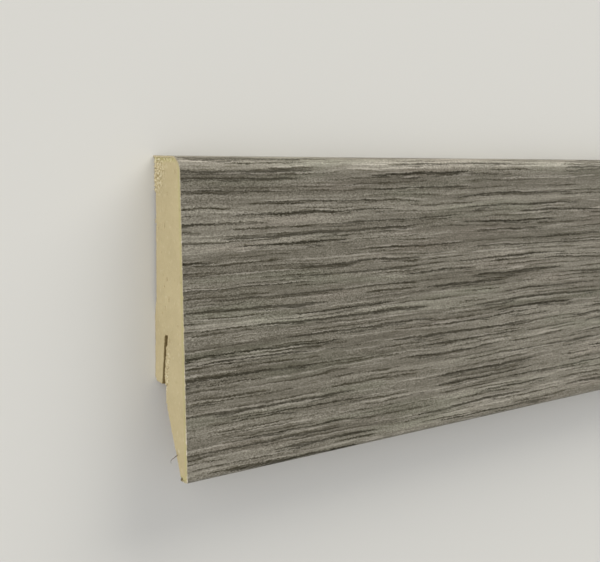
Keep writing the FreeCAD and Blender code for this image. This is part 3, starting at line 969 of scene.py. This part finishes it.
def make_foil(print_material, edge_material):
    """The foil, as one closed strip round the core, ragged where the saw cut it."""
    outer = front_chain(0.0)
    inner = front_chain(FOIL_THICKNESS)
    count, wide = len(outer), len(inner)
    lengths = running_lengths(outer)
    whole = lengths[-1]
    section = [
        (point, lengths[round(i * (count - 1) / (len(chain) - 1))], layer)
        for layer, chain in enumerate((outer, inner))
        for i, point in enumerate(chain)
    ]

    vertices, across_of, rings = [], [], []
    for x, depth_in, end in ring_places():
        rings.append(range(len(vertices), len(vertices) + len(section)))
        for point, along, layer in section:
            place = cut_place(end, foil_rag(along, layer, end), depth_in) if end else x
            vertices.append(row_point(place, point))
            across_of.append(along / whole)

    # Each vertex's place along the board in millimetres, and the same and its side of the foil from 0 to 1.
    x_of = [x / MM for x, _, _ in vertices]
    share_of = [length_share(x) for x in x_of]
    side_of = [layer for _, _, layer in section] * len(rings)
    faces, finishes, wrap, stored = [], [], [], []

    def add_face(corners, finish, places):
        faces.append(corners)
        finishes.append(finish)
        stored.extend(places)
        for vertex in corners:
            wrap.append((PRINT_ALONG + HALF_LENGTH + x_of[vertex], PRINT_ACROSS + across_of[vertex] * whole))

    def add_plain(corners, along, across, band):
        add_face(corners, PLAIN, [on_band(along[vertex], across[vertex], band) for vertex in corners])

    for near, far in zip(rings, rings[1:]):
        middle = middle_between(vertices, near, far)
        for i in range(count - 1):
            quad = (near[i], near[i + 1], far[i + 1], far[i])
            add_face(quad, PRINTED, [on_strip(x_of[v], middle, across_of[v], FOIL_FACE) for v in quad])
        for i in range(count, count + wide - 1):
            add_plain((near[i], far[i], far[i + 1], near[i + 1]), share_of, across_of, FOIL_BACK)
        for first, turn, band in ((0, 1, FOIL_EDGES[0]), (count - 1, -1, FOIL_EDGES[1])):
            second = count if first == 0 else count + wide - 1
            quad = (near[first], far[first], far[second], near[second])
            add_plain(quad[::turn], share_of, side_of, band)
    for ring, end in ((rings[0], -1), (rings[-1], 1)):
        for triangle in between(ring[:count], ring[count:]):
            add_plain(triangle[::end], across_of, side_of, FOIL_ENDS[end])

    foil = new_piece("decor_foil_wrap", vertices, faces, [print_material, edge_material])
    foil.data.polygons.foreach_set("material_index", finishes)
    set_map(foil.data, "OFBake", stored)
    set_map(foil.data, "wrap", wrap)
    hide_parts("decor_foil")


# Loose fibres

THREAD_SIDES = 5
CURL_STEPS = 5

# Fibres on the torn spots: how many roots are tried, and within which heights and distances from the wall.
ROOT_TRIES = 900
ROOT_HEIGHTS = (14.8, 57.4)
ROOT_DEPTHS = (0.15, 7.0)

# Heights of the single fibres along the back edge. The first four make up a tuft of thicker ones.
BACK_ROOTS = (46.5, 46.4, 46.3, 46.2, 39.8, 35.1, 28.2, 21.5, 55.9, 13.2, 8.4, 6.0)
TUFT_HEIGHT = 46.35
TUFT_REACH = 0.4

# How far the fibres keep inside the board's outline: from its edges, and from the wall plane.
EDGE_CLEARANCE = 0.15
WALL_CLEARANCE = 0.08

# The stray fibre behind the toe, from its root to its curled tip: how far inside the end, height, distance
# from the wall.
HAIR = (
    (0.17, 4.42, 8.25), (0.12, 4.05, 7.75), (0.12, 3.62, 7.1), (0.12, 3.2, 6.45),
    (0.13, 2.85, 5.95), (0.14, 2.65, 5.78), (0.16, 2.4, 5.72), (0.18, 2.15, 5.8),
)
HAIR_THICKNESS = 0.17


def add_thread(vertices, faces, path, thickness):
    """Adds a thin round thread that tapers to its tip. Path: (along the board, height, from the wall)."""
    start, last, sides = len(vertices), len(path) - 1, THREAD_SIDES
    for i, place in enumerate(path):
        along = (Vector(path[min(last, i + 1)]) - Vector(path[max(0, i - 1)])).normalized()
        first = along.cross(Vector((0.3, 0.5, 0.81))).normalized()
        second = along.cross(first)
        radius = thickness / 2 * (1.0 - 0.7 * i / last)
        for k in range(sides):
            turn = 2 * math.pi * k / sides
            x, h, z = Vector(place) + (first * math.cos(turn) + second * math.sin(turn)) * radius
            vertices.append(row_point(x, (h, z)))
    for ring in range(start, start + last * sides, sides):
        for k in range(sides):
            a, b = ring + k, ring + (k + 1) % sides
            faces.append((a, b, b + sides, a + sides))
    faces.append(tuple(reversed(range(start, start + sides))))
    faces.append(tuple(range(len(vertices) - sides, len(vertices))))


def curl(root, way, length, bend):
    """Section points from a root, going a way that bends as it goes on."""
    points = [root]
    angle = way
    for _ in range(CURL_STEPS):
        angle += bend / CURL_STEPS
        h, z = points[-1]
        points.append((h + math.cos(angle) * length / CURL_STEPS, z + math.sin(angle) * length / CURL_STEPS))
    return points


def fibre_roots():
    """Section points that fibres start from: many where the board is torn, and some along its back."""
    roots = []
    for _ in range(ROOT_TRIES):
        point = (random.uniform(*ROOT_HEIGHTS), random.uniform(*ROOT_DEPTHS))
        if random.random() < torn_share(point) ** 1.5 * 0.55:
            roots.append(point)
    for h in BACK_ROOTS:
        h += random.uniform(-0.2, 0.2)
        roots.append((h, back_z(h) + 0.12))
    return roots


def make_fuzz(material):
    """Short pale fibres that the saw raised on both sawn ends."""
    vertices, faces = [], []
    for end in (-1, 1):
        random.seed(31 + end)
        for h, z in fibre_roots():
            off, rise = slot_place((h, z))
            if abs(off) < SLOT_WIDTH / 2 and 0 < rise < SLOT_DEPTH:
                continue
            way = random.uniform(0, 2 * math.pi)
            length = random.uniform(0.25, 0.8)
            thickness = random.uniform(0.05, 0.1)
            if abs(h - TUFT_HEIGHT) < TUFT_REACH:
                way = random.uniform(-1.9, -1.2)
                length = random.uniform(0.45, 0.6)
                thickness = random.uniform(0.14, 0.2)
            path = []
            for i, (ph, pz) in enumerate(curl((h, z), way, length, random.uniform(-2.2, 2.2))):
                ph = min(BOARD_HEIGHT - EDGE_CLEARANCE, max(EDGE_CLEARANCE, ph))
                pz = max(WALL_CLEARANCE, pz)
                inward = 0.2 * (1 - i / CURL_STEPS) + thickness / 2 + 0.01
                path.append((end * (HALF_LENGTH - inward), ph, pz))
            add_thread(vertices, faces, path, thickness)
    new_piece("saw_fuzz", vertices, faces, [material])


def make_hair(material):
    """The single stray fibre behind the toe, stiff for most of its length and curled at its tip."""
    vertices, faces = [], []
    add_thread(vertices, faces, [(inward - HALF_LENGTH, h, z) for inward, h, z in HAIR], HAIR_THICKNESS)
    new_piece("loose_fibre", vertices, faces, [material])


# The camera, the floor and the light

# The photograph's view: the camera's place in millimetres, the way it looks, the way to its right, its lens.
CAMERA_PLACE = (-1281.13, 29.79, 152.75)
CAMERA_FORWARD = (0.59456, -0.13472, -0.79269)
CAMERA_RIGHT = (0.80158, 0.01301, 0.59774)
SENSOR_WIDTH = 36.0
LENS = 56.53
CLIP_RANGE = (0.01, 50.0)

FLOOR_REACH = 14.0
PAPER_WHITE = (213, 212, 208)

SKY_STRENGTH = 0.46

# Each lamp's name, strength, colour, spread in degrees and the way towards it.
LAMPS = (
    ("key_lamp", 1.9, (1.0, 1.0, 1.0), 70.0, (-0.85, 0.2, 0.49)),
    ("top_lamp", 4.3, (1.0, 0.97, 0.88), 60.0, (0.5, 0.82, 0.14)),
)


def make_camera():
    """The photograph's view of the board, taken from beside its sawn end."""
    data = bpy.data.cameras.new("camera")
    data.sensor_width = SENSOR_WIDTH
    data.lens = LENS
    data.clip_start, data.clip_end = CLIP_RANGE
    camera = placed("camera", data)
    forward = Vector(CAMERA_FORWARD).normalized()
    right = Vector(CAMERA_RIGHT)
    right = (right - forward * right.dot(forward)).normalized()
    up = right.cross(forward)
    turn = Matrix((right, up, -forward)).transposed().to_4x4()
    camera.matrix_world = Matrix.Translation(Vector(CAMERA_PLACE) * MM) @ turn
    bpy.context.scene.camera = camera


def make_floor():
    """A plain pale floor under the board, which lies on its back."""
    mesh = bpy.data.meshes.new("floor")
    corners = [(x * FLOOR_REACH, y * FLOOR_REACH, 0) for x, y in ((-1, -1), (1, -1), (1, 1), (-1, 1))]
    mesh.from_pydata(corners, [], [(0, 1, 2, 3)])
    floor = placed("floor", mesh)
    paint = Shading(bpy.data.materials.new("floor_paint"))
    mesh.materials.append(paint.surface(tone(*PAPER_WHITE), 0.9, 0.1))


def make_sky():
    """A soft white sky all round, which looks like the floor where it is seen or mirrored."""
    world = bpy.data.worlds.new("studio")
    s = Shading(world)
    rays = s.add("ShaderNodeLightPath")
    seen = s.larger(s.larger(rays["Is Camera Ray"], rays["Is Glossy Ray"]), rays["Is Transmission Ray"])
    lit = s.add("ShaderNodeBackground", (WHITE, SKY_STRENGTH))[0]
    backdrop = s.add("ShaderNodeBackground", (tone(*PAPER_WHITE), 1.0))[0]
    s.add("ShaderNodeOutputWorld", s.add("ShaderNodeMixShader", (seen, lit, backdrop))[:1])
    bpy.context.scene.world = world


def make_lamps():
    """A broad lamp over the front and a warmer one beyond the top edge."""
    for name, strength, colour, spread, towards in LAMPS:
        lamp = bpy.data.lights.new(name, "SUN")
        lamp.energy = strength
        lamp.color = colour
        lamp.angle = math.radians(spread)
        holder = placed(name, lamp)
        holder.rotation_mode = "QUATERNION"
        holder.rotation_quaternion = (-Vector(towards)).to_track_quat("-Z", "Y")


bpy.context.scene.view_settings.view_transform = "Standard"
make_camera()
make_floor()
make_sky()
make_lamps()
make_core(mdf_material())
make_foil(decor_material(), foil_edge_material())

# The raised fibres are paler than the board, and the loose one is drab and darker.
make_fuzz(fibre_material("raised_fibres", 1.8, tone(188, 172, 132), tone(226, 216, 184), 0.15, 0.75, 0.2))
make_hair(fibre_material("loose_fibre", 2.5, tone(86, 74, 68), tone(122, 110, 100), 0.2, 0.55, 0.3))
